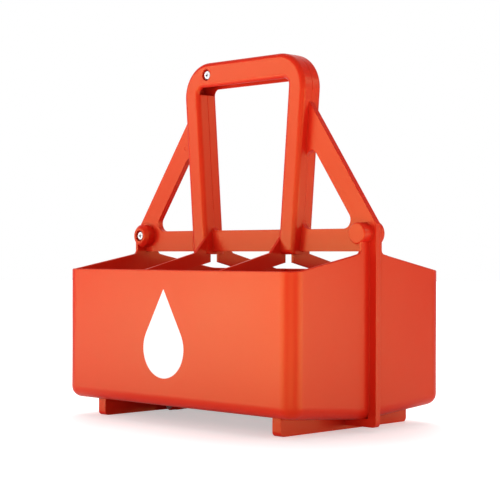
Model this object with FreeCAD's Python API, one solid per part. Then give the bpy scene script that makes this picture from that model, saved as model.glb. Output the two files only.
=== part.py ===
import FreeCAD
import Part
import math
import os

# Squeeze bottle carrier. X runs along the carrier, Y from front to back and Z up, in millimetres.
# The origin is the middle of the plan, on the surface that the runners stand on.
# The carrier is two identical moulded halves that meet face to face at the plane Y = 0. The rear
# half is the front half turned half a turn about Z. Screws along Y hold them together, and each
# pair of screws goes in from opposite faces.

# Basket
BASKET_LENGTH = 300.0
BASKET_DEPTH = 206.0
WALL = 3.0
CORNER_R = 14.0
HEM_R = 10.5
RIM_Z = 141.5
RIM_CHAMFER = 0.7
GABLE_Z = 159.3
GABLE_SLOPE = 0.19
GABLE_BEND_R = 60.0
FLOOR_MID_Z = 9.9
FLOOR_FRONT_Z = 17.8

# Dividers: straps between the bays, with a web that climbs to the leg
DIVIDER_X = 50.0
DIVIDER_THICK = 3.0
DIVIDER_LEVEL = 11.7
DIVIDER_WEB_DEPTH = 25.1
DIVIDER_WEB_Z = 157.1
DIVIDER_DROP = 14.9
DIVIDER_ROOT_Z = 148.2
WEB_SLOPE = 1.077
SLOT_HALF = 5.5

# Parting flange: ribs outside the end walls, keel under the floor, crossbar and diagonals
FLANGE_THICK = 3.0
RIB_REACH = 7.5
RIB_CORNER_R = 4.0
KEEL_Z = 4.0
CROSSBAR_Z = 158.6
CROSSBAR_HEIGHT = 20.4
SHOULDER_Z = 182.6
SHOULDER_R = 6.0
DIAGONAL_RUN = 0.70
DIAGONAL_WIDTH = 20.3
WINDOW_LOW_R = 8.0
WINDOW_TOP_R = 7.0
HAND_HOLE_LOW_R = 5.0
MARK_X = 87.5
MARK_Z = 261.0
MARK_R = 2.2
MARK_DEEP = 0.3

# Grip: a hollow U of two legs and a bar
GRIP_BAR_Z = 318.0
GRIP_BAR_HIGH = 24.0
HAND_HOLE_HALF = 60.1
GRIP_LEAN = 0.080
LEG_WIDE = 20.0
LEG_FOOT_Z = 155.8
GRIP_HALF_DEPTH = 13.0
GRIP_WALL = 3.0
GRIP_OUTER_R = 32.0
GRIP_INNER_R = 6.0
GRIP_EDGE_R = 4.5
SEAM_CHAMFER = 0.35

# End tabs that carry the end bosses
TAB_HALF = 14.0
TAB_FOOT_R = 4.0

# Runners and the lobes beside them
RUNNER_X = 121.3
RUNNER_THICK = 10.0
RUNNER_HALF = 85.5
RUNNER_END_R = 4.0
LOBE_X = 101.0
LOBE_R = 17.0

# Screws and their seats
SCREW_R = 1.8
SCREW_HEAD_R = 4.5
SCREW_HEAD_HIGH = 2.6
SCREW_HEAD_BEVEL = 0.9
CROSS_LONG = 4.8
CROSS_WIDE = 1.1
CROSS_DEEP = 1.5
SEAT_CLEAR = 1.0
HOLE_CLEAR = 0.15
PILOT_CLEAR = 0.05
TIP_CLEAR = 1.0
SCREW_BITE = 9.0
HEAD_SUNK = 1.3

GRIP_SCREW_X = 48.0
GRIP_BOSS_R = 7.5

END_SCREW_X = 144.3
END_SCREW_Z = 174.5
END_BOSS_FACE = 14.5
END_BOSS_R = 11.25
END_BOSS_ROUND = 3.5
PLAIN_BOSS_R = 9.5
PLAIN_BOSS_ROUND = 0.9

BASE_BOSS_FACE = 11.0
BASE_BOSS_R = 5.8
BASE_HEAD_CLEAR = 0.3

# How far a cutting or trimming shape runs past what it cuts, and how far two fused shapes overlap
SPARE = 20.0
BURIED = 1.5
TINY = 1e-4

END_X = BASKET_LENGTH / 2
HALF_DEPTH = BASKET_DEPTH / 2
RIB_X = END_X + RIB_REACH
CROSSBAR_TOP_Z = CROSSBAR_Z + CROSSBAR_HEIGHT
GRIP_TOP_Z = GRIP_BAR_Z + GRIP_BAR_HIGH
GRIP_SCREW_Z = GRIP_BAR_Z + GRIP_BAR_HIGH / 2
TALL = GRIP_TOP_Z + SPARE


def point(x, y, z):
    return FreeCAD.Vector(x, y, z)


def in_plan(u, v):
    return point(u, v, 0)


def in_side(u, v):
    return point(0, u, v)


def in_front(u, v):
    return point(u, 0, v)


def outline(corners, place):
    """Flat face through (u, v, radius) corners, each rounded by its radius."""
    flat = [FreeCAD.Vector(u, v, 0) for u, v, _ in corners]
    edges = []
    ends = []
    for i, (_, _, radius) in enumerate(corners):
        here = flat[i]
        back = (flat[i - 1] - here).normalize()
        ahead = (flat[(i + 1) % len(flat)] - here).normalize()
        half_turn = back.getAngle(ahead) / 2
        reach = radius / math.tan(half_turn)
        first = here + back * reach
        last = here + ahead * reach
        if radius > 0:
            inward = (back + ahead).normalize()
            centre = here + inward * (radius / math.sin(half_turn))
            middle = centre - inward * radius
            edges.append((first, middle, last))
        ends.append((first, last))
    shapes = []
    for i, (_, last) in enumerate(ends):
        following = ends[(i + 1) % len(ends)][0]
        shapes.append(Part.LineSegment(place(last.x, last.y), place(following.x, following.y)).toShape())
    for first, middle, last in edges:
        curve = Part.Arc(place(first.x, first.y), place(middle.x, middle.y), place(last.x, last.y))
        shapes.append(curve.toShape())
    wire = Part.Wire(Part.__sortEdges__(shapes))
    return Part.Face(wire)


def sides(corners):
    """Corners of the right side, then of the left side in the other order."""
    left = [(-u, v, r) for u, v, r in reversed(corners)]
    return corners + left


def along_x(face, low, high):
    prism = face.extrude(point(high - low, 0, 0))
    prism.translate(point(low, 0, 0))
    return prism


def to_parting(face, depth):
    """Prism from the parting face forward to a depth."""
    return face.extrude(point(0, -depth, 0))


def both(make):
    """The two solids of a feature that is alike on the left and the right."""
    return [make(-1), make(1)]


def rod(x, z, radius, low, high):
    """Round rod along Y, between two depths from the parting face."""
    return Part.makeCylinder(radius, high - low, point(x, -low, z), point(0, -1, 0))


def crowned_rod(x, z, radius, low, high, crown):
    """Round rod along Y whose front edge is rounded off by a ball centred on its axis."""
    ball_r = math.hypot(radius, radius - crown)
    ball = Part.makeSphere(ball_r, point(x, radius - high, z), point(0, -1, 0))
    return rod(x, z, radius, low, high).common(ball)


def edges_where(shape, test):
    """Edges whose points, ends and middle, all pass a test."""
    found = []
    for edge in shape.Edges:
        span = (edge.FirstParameter, edge.LastParameter)
        points = [edge.valueAt(t) for t in (span[0], sum(span) / 2, span[1])]
        if all(test(p) for p in points):
            found.append(edge)
    return found


def floor_z(depth):
    """Height of the floor's underside at a depth from the parting face."""
    return FLOOR_MID_Z + (FLOOR_FRONT_Z - FLOOR_MID_Z) * depth / HALF_DEPTH


def base_screw_z():
    """Height of the base screws, whose heads lie close under the floor."""
    return floor_z(BASE_BOSS_FACE) - BASE_HEAD_CLEAR - SCREW_HEAD_R


def gable_z(depth):
    return max(GABLE_Z - GABLE_SLOPE * depth, RIM_Z)


def leg_inner(z):
    """Distance from the middle to the inner face of a leg, HAND_HOLE_HALF under the bar."""
    return HAND_HOLE_HALF - GRIP_LEAN * (GRIP_BAR_Z - z)


def leg_outer(z):
    return leg_inner(z) + LEG_WIDE


def diagonal_outer(z):
    """Distance from the middle to the outer edge of a diagonal."""
    return RIB_X - DIAGONAL_RUN * (z - SHOULDER_Z)


def diagonal_inner(z):
    return diagonal_outer(z) - DIAGONAL_WIDTH * math.hypot(1, DIAGONAL_RUN)


def basket_block(inset, closed):
    """The basket's outer form, or the space inside it when inset by the wall."""
    half_x = END_X - inset
    front = HALF_DEPTH - inset
    radius = CORNER_R - inset
    plan = [(-half_x, SPARE, 0), (half_x, SPARE, 0), (half_x, -front, radius), (-half_x, -front, radius)]
    upright = outline(plan, in_plan).extrude(point(0, 0, TALL))
    far = HALF_DEPTH + SPARE
    side = [(SPARE, floor_z(-SPARE) + inset, 0), (-far, floor_z(far) + inset, 0)]
    if closed:
        gable_start = (GABLE_Z - RIM_Z) / GABLE_SLOPE
        side += [(-far, RIM_Z, 0), (-gable_start, RIM_Z, GABLE_BEND_R)]
        side += [(0, GABLE_Z, 0), (SPARE, GABLE_Z, 0)]
    else:
        side += [(-far, TALL, 0), (SPARE, TALL, 0)]
    slice_x = along_x(outline(side, in_side), -END_X - SPARE, END_X + SPARE)
    block = upright.common(slice_x)

    def on_floor(p):
        return abs(p.z - floor_z(-p.y) - inset) < TINY and p.y < SPARE - TINY

    hem = edges_where(block, on_floor)
    hem = [edge for edge in hem if edge.Vertexes[0].Point.y < SPARE + TINY]
    return block.makeFillet(HEM_R - inset, hem)


def basket():
    """Front wall, end walls and floor of one half, with the rim's sharp edges taken off."""
    shell = basket_block(0, True).cut(basket_block(WALL, False))

    def on_rim(p):
        return p.z > gable_z(-p.y) - TINY and p.z > RIM_Z - TINY and p.y < SPARE / 2

    rim = edges_where(shell, on_rim)
    rim = [edge for edge in rim if edge.Length > 2 * WALL or edge.Curve.TypeId == "Part::GeomCircle"]
    return shell.makeChamfer(RIM_CHAMFER, rim)


def divider(side):
    """Strap between two bays, and the web that climbs from it to the leg."""
    front = -HALF_DEPTH + WALL / 2
    level = -HALF_DEPTH + WALL + DIVIDER_LEVEL
    root_slope = (DIVIDER_ROOT_Z - RIM_Z + DIVIDER_DROP) / (HALF_DEPTH - WALL - SLOT_HALF)
    front_low = RIM_Z - DIVIDER_DROP - root_slope * WALL / 2
    top_depth = DIVIDER_WEB_DEPTH - (CROSSBAR_TOP_Z - DIVIDER_WEB_Z) / WEB_SLOPE
    corners = [
        (0, CROSSBAR_TOP_Z, 0), (-top_depth, CROSSBAR_TOP_Z, 0),
        (-DIVIDER_WEB_DEPTH, DIVIDER_WEB_Z, 0), (level, RIM_Z, 0), (front, RIM_Z, 0),
        (front, front_low, 0), (-SLOT_HALF, DIVIDER_ROOT_Z, 0),
        (-SLOT_HALF, LEG_FOOT_Z, 0), (0, LEG_FOOT_Z, 0),
    ]
    middle = side * DIVIDER_X
    plate = outline(corners, in_side)
    return along_x(plate, middle - DIVIDER_THICK / 2, middle + DIVIDER_THICK / 2)


def tab(side):
    """Upright tab of the end wall that carries the end boss."""
    wide = TAB_HALF + 2 * TAB_FOOT_R
    low = gable_z(wide) - WALL
    corners = [
        (0, END_SCREW_Z, 0), (-TAB_HALF, END_SCREW_Z, 0), (-TAB_HALF, gable_z(TAB_HALF), TAB_FOOT_R),
        (-wide, gable_z(wide), 0), (-wide, low, 0), (0, low, 0),
    ]
    low_x = END_X - WALL if side > 0 else -END_X
    return along_x(outline(corners, in_side), low_x, low_x + WALL)


def between_legs(inset, low_z, low_r):
    """Front outline of the space between the legs, made wider by an inset."""
    wide = inset * math.hypot(1, GRIP_LEAN)
    high_z = GRIP_BAR_Z - inset
    corners = [(leg_inner(low_z) + wide, low_z, low_r), (leg_inner(high_z) + wide, high_z, GRIP_INNER_R + inset)]
    return outline(sides(corners), in_front)


def grip_block(inset):
    """The grip's outer form, or the space inside it when inset by its wall."""
    slim = inset * math.hypot(1, GRIP_LEAN)
    foot = LEG_FOOT_Z + inset
    top = GRIP_TOP_Z - inset
    corners = [(leg_outer(foot) - slim, foot, 0), (leg_outer(top) - slim, top, GRIP_OUTER_R - inset)]
    depth = GRIP_HALF_DEPTH - inset
    block = to_parting(outline(sides(corners), in_front), depth)
    return block.cut(to_parting(between_legs(inset, foot - SPARE, 0), depth))


def grip():
    """The grip's outer form with round front edges and a fine seam where the halves meet."""
    block = grip_block(0)
    front = edges_where(block, lambda p: abs(p.y + GRIP_HALF_DEPTH) < TINY)
    block = block.makeFillet(GRIP_EDGE_R, front)
    seam = edges_where(block, lambda p: abs(p.y) < TINY)
    return block.makeChamfer(SEAM_CHAMFER, seam)


def window(side):
    """Front outline of the triangular opening between a leg, a diagonal and the crossbar."""
    top_z = (diagonal_inner(0) - leg_outer(0)) / (DIAGONAL_RUN + GRIP_LEAN)
    corners = [
        (side * leg_outer(CROSSBAR_TOP_Z), CROSSBAR_TOP_Z, WINDOW_LOW_R),
        (side * diagonal_inner(CROSSBAR_TOP_Z), CROSSBAR_TOP_Z, WINDOW_LOW_R),
        (side * leg_outer(top_z), top_z, WINDOW_TOP_R),
    ]
    return outline(corners, in_front)


def flange():
    """Flat plate at the parting face: ribs, keel, lobes, crossbar and diagonals in one."""
    join_z = (diagonal_outer(0) - leg_outer(0) + BURIED) / (DIAGONAL_RUN + GRIP_LEAN)
    low_leg = CROSSBAR_TOP_Z + SPARE
    right = [
        (RIB_X, KEEL_Z, RIB_CORNER_R), (RIB_X, SHOULDER_Z, SHOULDER_R),
        (diagonal_outer(join_z), join_z, 0), (leg_outer(low_leg) - BURIED, low_leg, 0),
    ]
    plate = to_parting(outline(sides(right), in_front), FLANGE_THICK)
    plate = plate.fuse([rod(side * LOBE_X, LOBE_R, LOBE_R, 0, FLANGE_THICK) for side in (-1, 1)])
    inside_x = END_X - WALL + BURIED
    inside = [(inside_x, FLOOR_MID_Z + BURIED, 0), (inside_x, CROSSBAR_Z, 0)]
    holes = [outline(sides(inside), in_front), between_legs(0, CROSSBAR_TOP_Z, HAND_HOLE_LOW_R)]
    holes += [window(-1), window(1)]
    for hole in holes:
        plate = plate.cut(to_parting(hole, FLANGE_THICK))
    return plate


def runner(side):
    """Foot along Y under the floor."""
    corners = [
        (0, 0, 0), (-RUNNER_HALF, 0, RUNNER_END_R), (-RUNNER_HALF, floor_z(RUNNER_HALF) + BURIED, 0),
        (0, floor_z(0) + BURIED, 0),
    ]
    outer = side * RUNNER_X
    inner = side * (RUNNER_X - RUNNER_THICK)
    bar = along_x(outline(corners, in_side), min(outer, inner), max(outer, inner))
    return bar


def sunk_seat(face):
    """Depth of a screw seat whose head lies HEAD_SUNK below the boss's face."""
    return face - HEAD_SUNK - SCREW_HEAD_HIGH


def screw_cuts(x, z, face, seat):
    """Cut shapes of one screw: its head on the left of the half, its thread on the right."""
    passage = rod(-x, z, SCREW_R + HOLE_CLEAR, -SPARE, face)
    pilot = rod(x, z, SCREW_R + PILOT_CLEAR, -SPARE, SCREW_BITE + TIP_CLEAR)
    cuts = [passage, pilot]
    if seat < face:
        cuts.append(rod(-x, z, SCREW_HEAD_R + SEAT_CLEAR, seat, face + SPARE))
    return cuts


def grip_station():
    inside = GRIP_HALF_DEPTH - GRIP_WALL / 2
    boss = rod(-GRIP_SCREW_X, GRIP_SCREW_Z, GRIP_BOSS_R, 0, inside)
    plain = rod(GRIP_SCREW_X, GRIP_SCREW_Z, GRIP_BOSS_R, 0, inside)
    face = GRIP_HALF_DEPTH
    return [boss, plain], screw_cuts(GRIP_SCREW_X, GRIP_SCREW_Z, face, sunk_seat(face))


def end_station():
    boss = crowned_rod(-END_SCREW_X, END_SCREW_Z, END_BOSS_R, 0, END_BOSS_FACE, END_BOSS_ROUND)
    plain = crowned_rod(END_SCREW_X, END_SCREW_Z, PLAIN_BOSS_R, 0, END_BOSS_FACE, PLAIN_BOSS_ROUND)
    face = END_BOSS_FACE
    return [boss, plain], screw_cuts(END_SCREW_X, END_SCREW_Z, face, sunk_seat(face))


def base_station():
    z = base_screw_z()
    boss = rod(-LOBE_X, z, BASE_BOSS_R, 0, BASE_BOSS_FACE)
    plain = rod(LOBE_X, z, BASE_BOSS_R, 0, BASE_BOSS_FACE)
    return [boss, plain], screw_cuts(LOBE_X, z, BASE_BOSS_FACE, BASE_BOSS_FACE)


def front_half():
    """One moulded half, in front of the parting face."""
    leg_space = grip_block(GRIP_WALL)
    body = grip().fuse(flange()).cut(leg_space)
    parts = [basket()] + both(divider) + both(tab) + both(runner)
    cuts = []
    for added, removed in (grip_station(), end_station(), base_station()):
        parts += added
        cuts += removed
    cuts.append(rod(-MARK_X, MARK_Z, MARK_R, FLANGE_THICK - MARK_DEEP, FLANGE_THICK + SPARE))
    parts[1:3] = [web.cut(leg_space) for web in parts[1:3]]
    body = body.fuse(parts).removeSplitter()
    body = body.cut(cuts)
    front_space = Part.makeBox(
        2 * (RIB_X + SPARE), HALF_DEPTH + SPARE, TALL + SPARE,
        point(-RIB_X - SPARE, -HALF_DEPTH - SPARE, -SPARE))
    return body.common(front_space).removeSplitter()


def screw(seat):
    """Pan head screw with a cross recess, its axis on Y and its head towards -Y."""
    head = rod(0, 0, SCREW_HEAD_R, seat, seat + SCREW_HEAD_HIGH)
    top = -seat - SCREW_HEAD_HIGH
    head = head.makeChamfer(SCREW_HEAD_BEVEL, edges_where(head, lambda p: abs(p.y - top) < TINY))
    body = head.fuse(rod(0, 0, SCREW_R, -SCREW_BITE, seat))
    bars = []
    for x_size, z_size in ((CROSS_LONG, CROSS_WIDE), (CROSS_WIDE, CROSS_LONG)):
        corner = point(-x_size / 2, top - CROSS_DEEP, -z_size / 2)
        bars.append(Part.makeBox(x_size, 2 * CROSS_DEEP, z_size, corner))
    return body.cut(bars)


def screw_pair(x, z, seat):
    """A screw from the front on the left, and the like one from the back on the right."""
    first = screw(seat)
    first.translate(point(-x, 0, z))
    second = first.copy()
    second.rotate(point(0, 0, 0), point(0, 0, 1), 180)
    return Part.makeCompound([first, second])


def main():
    os.makedirs("parts", exist_ok=True)
    front = front_half()
    rear = front.copy()
    rear.rotate(point(0, 0, 0), point(0, 0, 1), 180)
    nodes = {
        "front_half": front,
        "rear_half": rear,
        "grip_screws": screw_pair(GRIP_SCREW_X, GRIP_SCREW_Z, sunk_seat(GRIP_HALF_DEPTH)),
        "end_screws": screw_pair(END_SCREW_X, END_SCREW_Z, sunk_seat(END_BOSS_FACE)),
        "base_screws": screw_pair(LOBE_X, base_screw_z(), BASE_BOSS_FACE),
    }
    for name, shape in nodes.items():
        shape.exportStep("parts/" + name + ".step")
        box = shape.optimalBoundingBox()
        print(name, len(shape.Solids), "solids", round(shape.Volume / 1000, 2), "cm3", shape.isValid())
        print("  x", round(box.XMin, 2), round(box.XMax, 2), "y", round(box.YMin, 2), round(box.YMax, 2),
              "z", round(box.ZMin, 2), round(box.ZMax, 2))


main()
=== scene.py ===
# %% [markdown]
# # A squeeze bottle carrier
# The carrier is one moulding used twice: a front half and a rear half meet face to face and are held
# by screws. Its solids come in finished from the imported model, so this lesson gives them their
# plastic and metal, adds the print on the front wall, and sets up a small photo studio around them.
# Everything is in metres, with X along the carrier, Y from front to back and Z up.

import math

import bmesh
import bpy
from mathutils import Matrix, Vector


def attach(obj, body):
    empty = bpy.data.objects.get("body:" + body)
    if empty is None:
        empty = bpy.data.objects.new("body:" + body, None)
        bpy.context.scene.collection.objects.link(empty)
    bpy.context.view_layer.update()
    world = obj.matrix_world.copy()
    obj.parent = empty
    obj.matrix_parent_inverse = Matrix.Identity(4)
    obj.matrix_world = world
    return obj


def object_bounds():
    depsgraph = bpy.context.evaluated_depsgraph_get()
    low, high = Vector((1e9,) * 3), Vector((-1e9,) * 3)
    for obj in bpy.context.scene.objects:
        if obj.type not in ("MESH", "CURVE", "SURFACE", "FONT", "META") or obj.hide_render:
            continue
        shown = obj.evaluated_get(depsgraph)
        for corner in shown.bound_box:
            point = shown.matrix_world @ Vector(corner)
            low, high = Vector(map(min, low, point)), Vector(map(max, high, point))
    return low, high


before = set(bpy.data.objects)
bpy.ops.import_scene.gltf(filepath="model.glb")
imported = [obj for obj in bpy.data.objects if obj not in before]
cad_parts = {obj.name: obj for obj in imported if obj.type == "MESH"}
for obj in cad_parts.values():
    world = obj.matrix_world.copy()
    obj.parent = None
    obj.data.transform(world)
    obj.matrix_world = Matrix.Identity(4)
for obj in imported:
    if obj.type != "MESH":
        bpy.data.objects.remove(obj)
cad_low, cad_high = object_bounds()
mm = 0.001
print("nodes:", sorted(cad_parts))
print("carrier size in mm:", [round((high - low) / mm, 1) for low, high in zip(cad_low, cad_high)])

# %% [markdown]
# ## Camera
# The photograph was taken with a long lens, from a little above the rim of the basket and about
# 45 degrees round from the front. A long lens keeps the upright edges nearly parallel. The camera is
# placed from its azimuth, its pitch and its roll, which came from fitting the carrier's straight
# edges. The three axes of a camera are its right, its up and the reverse of its view, so they make up
# the columns of its rotation.

# %% Place the camera
FRAME_WIDTH_MM = 36.0
LENS_MM = 101.81
FARTHEST_VIEW = 20.0
camera_azimuth = math.radians(44.54)
camera_pitch = math.radians(0.23)
camera_roll = math.radians(0.17)
camera_place = Vector((946.15, -961.69, 154.56)) * mm

level_view = Vector((-math.sin(camera_azimuth), math.cos(camera_azimuth), 0))
level_right = Vector((math.cos(camera_azimuth), math.sin(camera_azimuth), 0))
upright = Vector((0, 0, 1))
view_axis = level_view * math.cos(camera_pitch) + upright * math.sin(camera_pitch)
view_up = upright * math.cos(camera_pitch) - level_view * math.sin(camera_pitch)
right_axis = level_right * math.cos(camera_roll) + view_up * math.sin(camera_roll)
up_axis = view_up * math.cos(camera_roll) - level_right * math.sin(camera_roll)

camera_data = bpy.data.cameras.new("studio_camera")
camera_data.sensor_width = FRAME_WIDTH_MM
camera_data.lens = LENS_MM
camera_data.clip_end = FARTHEST_VIEW
camera = bpy.data.objects.new("studio_camera", camera_data)
bpy.context.scene.collection.objects.link(camera)
turn = Matrix((right_axis, up_axis, -view_axis)).transposed()
camera.matrix_world = Matrix.Translation(camera_place) @ turn.to_4x4()
bpy.context.scene.camera = camera
print("camera looks along", [round(c, 3) for c in view_axis])

# %% [markdown]
# ## Helpers for materials
# A material here is a Principled BSDF with a few nodes in front of it. Small helpers keep the cells
# short: one starts a material and hands back its node tree and its shader, one adds a node and sets
# its values, and one maps a value from 0 to 1 onto a range. Effects that more than one material needs
# are node groups, so they are made once, and the last helper starts such a group.

# %% Helpers for nodes
def new_material(name):
    material = bpy.data.materials.new(name)
    material.use_nodes = True
    tree = material.node_tree
    return material, tree, tree.nodes["Principled BSDF"]


def add_node(tree, kind, **values):
    node = tree.nodes.new(kind)
    for key, value in values.items():
        if key in node.inputs:
            node.inputs[key].default_value = value
        else:
            setattr(node, key, value)
    return node


def map_value(tree, value, low, high):
    """Maps a value from 0 to 1 onto the range from low to high."""
    mapped = add_node(tree, "ShaderNodeMapRange")
    mapped.inputs["To Min"].default_value = low
    mapped.inputs["To Max"].default_value = high
    tree.links.new(value, mapped.inputs["Value"])
    return mapped.outputs["Result"]


def new_group(name, inputs, outputs):
    """A node group with float inputs (name, value) and float outputs (name)."""
    group = bpy.data.node_groups.new(name, "ShaderNodeTree")
    for label, value in inputs:
        socket = group.interface.new_socket(label, in_out="INPUT", socket_type="NodeSocketFloat")
        socket.default_value = value
    for label in outputs:
        group.interface.new_socket(label, in_out="OUTPUT", socket_type="NodeSocketFloat")
    return group, group.nodes.new("NodeGroupInput"), group.nodes.new("NodeGroupOutput")


print("helpers ready")

# %% [markdown]
# ## The moulded surface
# A mould for such a carrier is spark-eroded or blasted, which leaves a fine even grain on the
# plastic and takes the hard shine off it. The grain is far smaller than a millimetre, so it is bump
# and not geometry. Over a whole wall the gloss also drifts a little, because the plastic cools
# unevenly. Both effects are wanted on the plastic, on the print that lies on it and, finer, on the
# screws, so they are one group: it gives out a height for a Bump node and a mask for the drift.

# %% Node group: moulded grain
PLASTIC_GRAIN_MM = 0.7
PLASTIC_DRIFT_MM = 70.0
FINE_NOISE = {"Detail": 2.0, "Roughness": 0.5}
DRIFT_NOISE = {"Detail": 3.0, "Roughness": 0.55}

grain_group, grain_in, grain_out = new_group(
    "moulded_grain",
    [("Grain Size", PLASTIC_GRAIN_MM), ("Drift Size", PLASTIC_DRIFT_MM)],
    ["Height", "Drift"])
grain_place = add_node(grain_group, "ShaderNodeTexCoord")
for size_name, look, result in (("Grain Size", FINE_NOISE, "Height"), ("Drift Size", DRIFT_NOISE, "Drift")):
    noise = add_node(grain_group, "ShaderNodeTexNoise", **look)
    per_metre = add_node(grain_group, "ShaderNodeMath", operation="DIVIDE")
    per_metre.inputs[0].default_value = 1 / mm
    grain_group.links.new(grain_in.outputs[size_name], per_metre.inputs[1])
    grain_group.links.new(per_metre.outputs[0], noise.inputs["Scale"])
    grain_group.links.new(grain_place.outputs["Object"], noise.inputs["Vector"])
    grain_group.links.new(noise.outputs["Fac"], grain_out.inputs[result])
print("group:", grain_group.name)

# %% [markdown]
# ## A grained finish
# Each of the three finishes uses the group in the same way. The drift moves the roughness between a
# glossier and a duller value, and the height goes through a Bump node to the shader's normal.

# %% Put the grain on a finish
def add_grain(tree, shader, grain_mm, drift_mm, roughness, bump_strength, bump_height):
    grain = add_node(tree, "ShaderNodeGroup", node_tree=grain_group)
    grain.inputs["Grain Size"].default_value = grain_mm
    grain.inputs["Drift Size"].default_value = drift_mm
    tree.links.new(map_value(tree, grain.outputs["Drift"], *roughness), shader.inputs["Roughness"])
    bump = add_node(tree, "ShaderNodeBump", Strength=bump_strength, Distance=bump_height)
    tree.links.new(grain.outputs["Height"], bump.inputs["Height"])
    tree.links.new(bump.outputs["Normal"], shader.inputs["Normal"])
    return grain, bump


print("finishes use", grain_group.name)

# %% [markdown]
# ## Orange-red plastic
# The carrier is moulded in one bright orange-red. Its diffuse colour is a deep red, and what makes a
# lit wall look orange is the gloss on it. A pigmented plastic with a rough skin gives back a warmer
# gloss than clear lacquer does, so the specular tint is warm. No edge of a moulding is quite sharp:
# the Bevel node bends the shading over the last half millimetre of each edge, which catches a thin
# line of light without any more triangles. The Mix node that moves the colour with the drift has a
# set of sockets for each kind of data, so those for colours are picked by number.

# %% Material: orange-red plastic
PLASTIC_WARM = (0.61, 0.014, 0.006, 1)
PLASTIC_DEEP = (0.58, 0.011, 0.005, 1)
PLASTIC_ROUGH = (0.30, 0.38)
PLASTIC_GLOSS_TINT = (0.85, 0.93, 0.22, 1)
PLASTIC_GLOSS_LEVEL = 0.4
PLASTIC_IOR = 1.5
EDGE_SOFTNESS = 0.6 * mm
MIX_FACTOR, MIX_FIRST, MIX_SECOND, MIX_RESULT = 0, 6, 7, 2

plastic, plastic_tree, plastic_shader = new_material("orange_red_plastic")
plastic_grain, plastic_bump = add_grain(
    plastic_tree, plastic_shader, PLASTIC_GRAIN_MM, PLASTIC_DRIFT_MM, PLASTIC_ROUGH,
    bump_strength=0.12, bump_height=0.2 * mm)
tone = add_node(plastic_tree, "ShaderNodeMix", data_type="RGBA")
tone.inputs[MIX_FIRST].default_value = PLASTIC_DEEP
tone.inputs[MIX_SECOND].default_value = PLASTIC_WARM
plastic_tree.links.new(plastic_grain.outputs["Drift"], tone.inputs[MIX_FACTOR])
plastic_tree.links.new(tone.outputs[MIX_RESULT], plastic_shader.inputs["Base Color"])
soft_edge = add_node(plastic_tree, "ShaderNodeBevel", samples=6, Radius=EDGE_SOFTNESS)
plastic_tree.links.new(soft_edge.outputs["Normal"], plastic_bump.inputs["Normal"])
plastic_shader.inputs["IOR"].default_value = PLASTIC_IOR
plastic_shader.inputs["Specular IOR Level"].default_value = PLASTIC_GLOSS_LEVEL
plastic_shader.inputs["Specular Tint"].default_value = PLASTIC_GLOSS_TINT
print("plastic:", plastic.name)

# %% [markdown]
# ## Zinc-plated screws
# The screws are small steel ones with a bright zinc coat. Metal shows mostly what is around it. The
# coat is fine-grained, so the shader is fully metallic but not smooth, and a lamp spreads over the
# whole head. The cross recess is narrower than a pixel of the photograph, and it still reads as a
# dark cross. The Ambient Occlusion node looks for the screw's own metal close by and darkens the
# colour in there, so the dark cross is painted shade.

# %% Material: bright screw
STEEL_COLOUR = (0.60, 0.61, 0.63, 1)
STEEL_ROUGH = (0.42, 0.52)
STEEL_GRAIN_MM = 0.25
STEEL_DRIFT_MM = 3.0
PAINTED_SHADE_REACH = 2.0 * mm

steel, steel_tree, steel_shader = new_material("bright_zinc")
add_grain(
    steel_tree, steel_shader, STEEL_GRAIN_MM, STEEL_DRIFT_MM, STEEL_ROUGH,
    bump_strength=0.1, bump_height=0.1 * mm)
# Painted shade: the Ambient Occlusion node darkens the steel colour in the cross recess, where the screw's
# own metal is close by.
recess_painted_shade = add_node(
    steel_tree, "ShaderNodeAmbientOcclusion", samples=8, only_local=True,
    Distance=PAINTED_SHADE_REACH, Color=STEEL_COLOUR)
steel_tree.links.new(recess_painted_shade.outputs["Color"], steel_shader.inputs["Base Color"])
steel_shader.inputs["Metallic"].default_value = 1.0
print("screws:", steel.name)

# %% [markdown]
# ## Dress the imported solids
# The solids already have their true shape, so each one only gets its material. A slot of the object
# is filled, and the mesh stays as it came.

# %% Give each solid its material
def dress(node, material):
    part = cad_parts[node]
    part.data.materials.clear()
    part.data.materials.append(material)
    return part


for node in ("front_half", "rear_half"):
    dress(node, plastic)
for node in ("grip_screws", "end_screws", "base_screws"):
    dress(node, steel)
print("dressed", len(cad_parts), "solids")

# %% [markdown]
# ## The print on the front wall
# The front wall carries a plain white print, a drop of water as wide as three fingers. A drop is a
# round arc whose ends run straight to a point above it. The arc is spun from one vertex, a vertex at
# the point closes it, and the flat face is then drawn out by the thickness of a layer of ink. The
# extrusion makes its new faces in no fixed order, so the mesh is sorted round the drop at the end,
# and each run builds the same mesh.

# %% Drop-shaped print
PRINT_MIDDLE = Vector((-9.0, 0, 70.0)) * mm
DROP_RADIUS = 27.0 * mm
DROP_POINT_HEIGHT = 54.0 * mm
DROP_STEPS = 64
INK_THICKNESS = 0.04 * mm
FULL_TURN = 2 * math.pi

wall_y = cad_low[1]
drop_middle = Vector((PRINT_MIDDLE.x, wall_y, PRINT_MIDDLE.z))
half_gap = math.acos(DROP_RADIUS / DROP_POINT_HEIGHT)
first_offset = Vector((math.sin(half_gap), 0, math.cos(half_gap))) * DROP_RADIUS


def order_round_drop(place):
    """A number that grows round the drop, and from the wall outwards by two full turns."""
    angle = math.atan2(place.x - drop_middle.x, place.z - drop_middle.z)
    layer = (wall_y - place.y) / INK_THICKNESS
    return angle + 2 * FULL_TURN * layer


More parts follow.
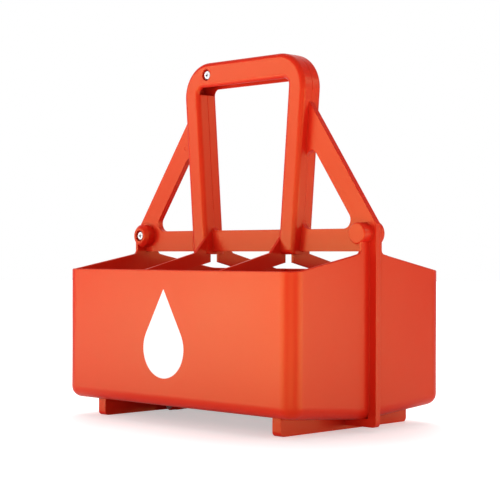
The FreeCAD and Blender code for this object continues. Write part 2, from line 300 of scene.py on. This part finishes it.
drop = bmesh.new()
first = bmesh.ops.create_vert(drop, co=drop_middle + first_offset)["vert"][0]
bmesh.ops.spin(
    drop, geom=[first], cent=drop_middle, axis=(0, 1, 0), dvec=(0, 0, 0),
    angle=FULL_TURN - 2 * half_gap, steps=DROP_STEPS, use_merge=False, use_duplicate=False)
drop.verts.ensure_lookup_table()
ends = [vert for vert in drop.verts if len(vert.link_edges) == 1]
tip = bmesh.ops.create_vert(drop, co=drop_middle + Vector((0, 0, DROP_POINT_HEIGHT)))["vert"][0]
for vert in ends:
    drop.edges.new((tip, vert))
bmesh.ops.contextual_create(drop, geom=drop.edges[:])
drawn = bmesh.ops.extrude_face_region(drop, geom=drop.faces[:])
moved = [item for item in drawn["geom"] if isinstance(item, bmesh.types.BMVert)]
bmesh.ops.translate(drop, verts=moved, vec=(0, -INK_THICKNESS, 0))
bmesh.ops.recalc_face_normals(drop, faces=drop.faces[:])
drop.verts.sort(key=lambda vert: order_round_drop(vert.co))
drop.faces.sort(key=lambda face: order_round_drop(face.calc_center_median()))
drop_mesh = bpy.data.meshes.new("drop_print")
drop.to_mesh(drop_mesh)
drop.free()
drop_print = bpy.data.objects.new("drop_print", drop_mesh)
bpy.context.scene.collection.objects.link(drop_print)
print_size = [round(size / mm, 1) for size in drop_print.dimensions]
print("print is", print_size, "mm, faces:", len(drop_mesh.polygons))

# %% [markdown]
# ## White ink
# The layer of ink is so thin that it takes on the grain of the wall. It is a little duller than the
# plastic, and its white is kept below full so that no lamp burns it out.

# %% Material: white ink
INK_COLOUR = (0.84, 0.82, 0.82, 1)
INK_ROUGH = (0.42, 0.55)

ink, ink_tree, ink_shader = new_material("white_ink")
add_grain(
    ink_tree, ink_shader, PLASTIC_GRAIN_MM, PLASTIC_DRIFT_MM, INK_ROUGH,
    bump_strength=0.1, bump_height=0.2 * mm)
ink_shader.inputs["Base Color"].default_value = INK_COLOUR
drop_mesh.materials.append(ink)
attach(drop_print, "root")
print("ink:", ink.name)

# %% [markdown]
# ## Studio
# The carrier stands on a white floor against white, with a soft shadow under it. The floor is one
# large face.

# %% Floor
FLOOR_REACH = 6.0

floor_mesh = bpy.data.meshes.new("studio_floor")
floor_shape = bmesh.new()
bmesh.ops.create_grid(floor_shape, x_segments=1, y_segments=1, size=FLOOR_REACH)
floor_shape.to_mesh(floor_mesh)
floor_shape.free()
floor = bpy.data.objects.new("studio_floor", floor_mesh)
bpy.context.scene.collection.objects.link(floor)
print("floor is", floor.dimensions.x, "m across")

# %% [markdown]
# ## White floor paint
# The paint is an ordinary pale matte one that also glows a little for the camera alone, so that it
# reads as white while the shadow stays. Further out, where the lamps no longer reach, it glows fully.

# %% Material: white floor
FLOOR_COLOUR = (0.86, 0.86, 0.86, 1)
FLOOR_ROUGHNESS = 0.6
FLOOR_GLOSS_LEVEL = 0.2
NEAR_GLOW = 0.46
NEAR_RADIUS = 0.32
FAR_RADIUS = 0.75

floor_paint, floor_tree, floor_shader = new_material("white_floor")
floor_shader.inputs["Base Color"].default_value = FLOOR_COLOUR
floor_shader.inputs["Roughness"].default_value = FLOOR_ROUGHNESS
floor_shader.inputs["Specular IOR Level"].default_value = FLOOR_GLOSS_LEVEL
floor_shader.inputs["Emission Color"].default_value = (1, 1, 1, 1)
floor_place = add_node(floor_tree, "ShaderNodeTexCoord")
distance = add_node(floor_tree, "ShaderNodeVectorMath", operation="LENGTH")
floor_tree.links.new(floor_place.outputs["Object"], distance.inputs[0])
outwards = add_node(floor_tree, "ShaderNodeMapRange", interpolation_type="SMOOTHSTEP")
outwards.inputs["From Min"].default_value = NEAR_RADIUS
outwards.inputs["From Max"].default_value = FAR_RADIUS
outwards.inputs["To Min"].default_value = NEAR_GLOW
floor_tree.links.new(distance.outputs["Value"], outwards.inputs["Value"])
floor_path = add_node(floor_tree, "ShaderNodeLightPath")
camera_glow = add_node(floor_tree, "ShaderNodeMath", operation="MULTIPLY")
floor_tree.links.new(floor_path.outputs["Is Camera Ray"], camera_glow.inputs[0])
floor_tree.links.new(outwards.outputs["Result"], camera_glow.inputs[1])
floor_tree.links.new(camera_glow.outputs[0], floor_shader.inputs["Emission Strength"])
floor_mesh.materials.append(floor_paint)
print("floor paint:", floor_paint.name)

# %% [markdown]
# ## Backdrop
# The backdrop is white for the camera in every direction. In a mirror it shows as well, but only
# where it hangs, which is behind the carrier: the ceiling and the camera's side of a studio are dim,
# so a glossy ray that goes there finds little light. What the world adds to the matte colour of the
# carrier is an even glow. The first cell works out which rays find the backdrop, and the second
# turns that into light.

# %% World: where the backdrop shows
BACKDROP_SIDE = (-0.70, 0.71, 0)
BACKDROP_EDGE = (0.55, 0.95)

world = bpy.data.worlds.new("studio_world")
bpy.context.scene.world = world
world.use_nodes = True
world_tree = world.node_tree


def combine(operation, first_value, second_value):
    node = add_node(world_tree, "ShaderNodeMath", operation=operation)
    world_tree.links.new(first_value, node.inputs[0])
    world_tree.links.new(second_value, node.inputs[1])
    return node.outputs[0]


path = add_node(world_tree, "ShaderNodeLightPath")
seen = combine("MAXIMUM", path.outputs["Is Camera Ray"], path.outputs["Is Transmission Ray"])
ray_place = add_node(world_tree, "ShaderNodeTexCoord")
facing = add_node(world_tree, "ShaderNodeVectorMath", operation="DOT_PRODUCT")
facing.inputs[1].default_value = BACKDROP_SIDE
world_tree.links.new(ray_place.outputs["Generated"], facing.inputs[0])
hung = add_node(world_tree, "ShaderNodeMapRange", interpolation_type="SMOOTHSTEP")
hung.inputs["From Min"].default_value, hung.inputs["From Max"].default_value = BACKDROP_EDGE
world_tree.links.new(facing.outputs["Value"], hung.inputs["Value"])
in_mirror = combine("MULTIPLY", hung.outputs["Result"], path.outputs["Is Glossy Ray"])
backdrop_share = combine("MAXIMUM", seen, in_mirror)
print("backdrop hangs towards", BACKDROP_SIDE)

# %% World: how bright each ray finds it
SKY_ON_OBJECT = 0.45
ROOM_IN_MIRRORS = 0.15

backdrop = world_tree.nodes["Background"]
backdrop.inputs["Color"].default_value = (1, 1, 1, 1)
room = map_value(world_tree, path.outputs["Is Glossy Ray"], SKY_ON_OBJECT, ROOM_IN_MIRRORS)
glow = add_node(world_tree, "ShaderNodeMapRange")
world_tree.links.new(room, glow.inputs["To Min"])
world_tree.links.new(backdrop_share, glow.inputs["Value"])
world_tree.links.new(glow.outputs["Result"], backdrop.inputs["Strength"])
print("world:", world.name)

# %% [markdown]
# ## Lamps
# A flat wall mirrors one narrow part of the room towards the camera. The front wall mirrors the low
# left, the end wall the low right behind it, and the rounded corner sweeps over all that lies
# between. A low strip stands at each of the two sides, close to the floor, and none in between, so
# the corner shows a dark band with a light one on either side. The strips' light glances off the
# outer walls, while the rim hides them from the inside of the bays, which stays deep red. A card on
# the floor at the left lifts the foot of the front wall, and one in front throws light up under the
# grip. Three soft lamps and one above fill in the rest. The lamp beside the camera is kept out of
# mirrors, or it would fill the dark band, and so is the one above, which would turn the floor of the
# bays from red to brown.

# %% Three kinds of lamp
MIDDLE_OF_CARRIER = (0, 0, 0.15)
STRIP_HEIGHT = 0.11
CARD_HEIGHT = 0.005


def soft_lamp(name, place, size, watts, target=MIDDLE_OF_CARRIER, in_mirrors=True):
    """A soft rectangle of light that faces a target. The camera doesn't see it, mirrors may."""
    data = bpy.data.lights.new(name, "AREA")
    data.shape = "RECTANGLE"
    data.size, data.size_y = size
    data.energy = watts
    lamp = bpy.data.objects.new(name, data)
    bpy.context.scene.collection.objects.link(lamp)
    aim = Vector(target) - Vector(place)
    lamp.matrix_world = Matrix.Translation(place) @ aim.to_track_quat("-Z", "Y").to_matrix().to_4x4()
    lamp.visible_camera = False
    lamp.visible_glossy = in_mirrors


def strip_lamp(name, azimuth, distance, length, watts):
    """A low strip lamp that stands on the floor, at an azimuth in degrees."""
    angle = math.radians(azimuth)
    place = (distance * math.cos(angle), distance * math.sin(angle), STRIP_HEIGHT / 2)
    soft_lamp(name, place, (length, STRIP_HEIGHT), watts, target=(0, 0, STRIP_HEIGHT / 2))


def floor_card(name, x, y, size, watts):
    """A card that lies on the floor and throws light straight up."""
    soft_lamp(name, (x, y, CARD_HEIGHT), size, watts, target=(x, y, 1))


print("strips are", STRIP_HEIGHT, "m high")

# %% Lamps
strip_lamp("left_strip", azimuth=-113, distance=1.7, length=1.7, watts=9.3)
strip_lamp("right_strip", azimuth=20, distance=1.7, length=1.4, watts=7)
floor_card("left_card", -0.5, -0.62, (0.9, 0.5), watts=2.5)
floor_card("bounce_card", 0.8, -0.8, (1.2, 1.2), watts=9)
soft_lamp("left_lamp", (-1.3, -1.45, 0.66), (1.2, 0.4), watts=8)
soft_lamp("right_lamp", (1.6, 1.3, 0.95), (1.2, 0.5), watts=5)
soft_lamp("front_lamp", (1.65, -1.8, 0.3), (1.2, 0.5), watts=10, in_mirrors=False)
soft_lamp("top_lamp", (-0.7, 0.7, 1.6), (1.8, 1.8), watts=30, in_mirrors=False)

# %% [markdown]
# ## Finish
# The view is set to Standard, so that colours come out as they are written.

# %% Finish
bpy.context.scene.view_settings.view_transform = "Standard"
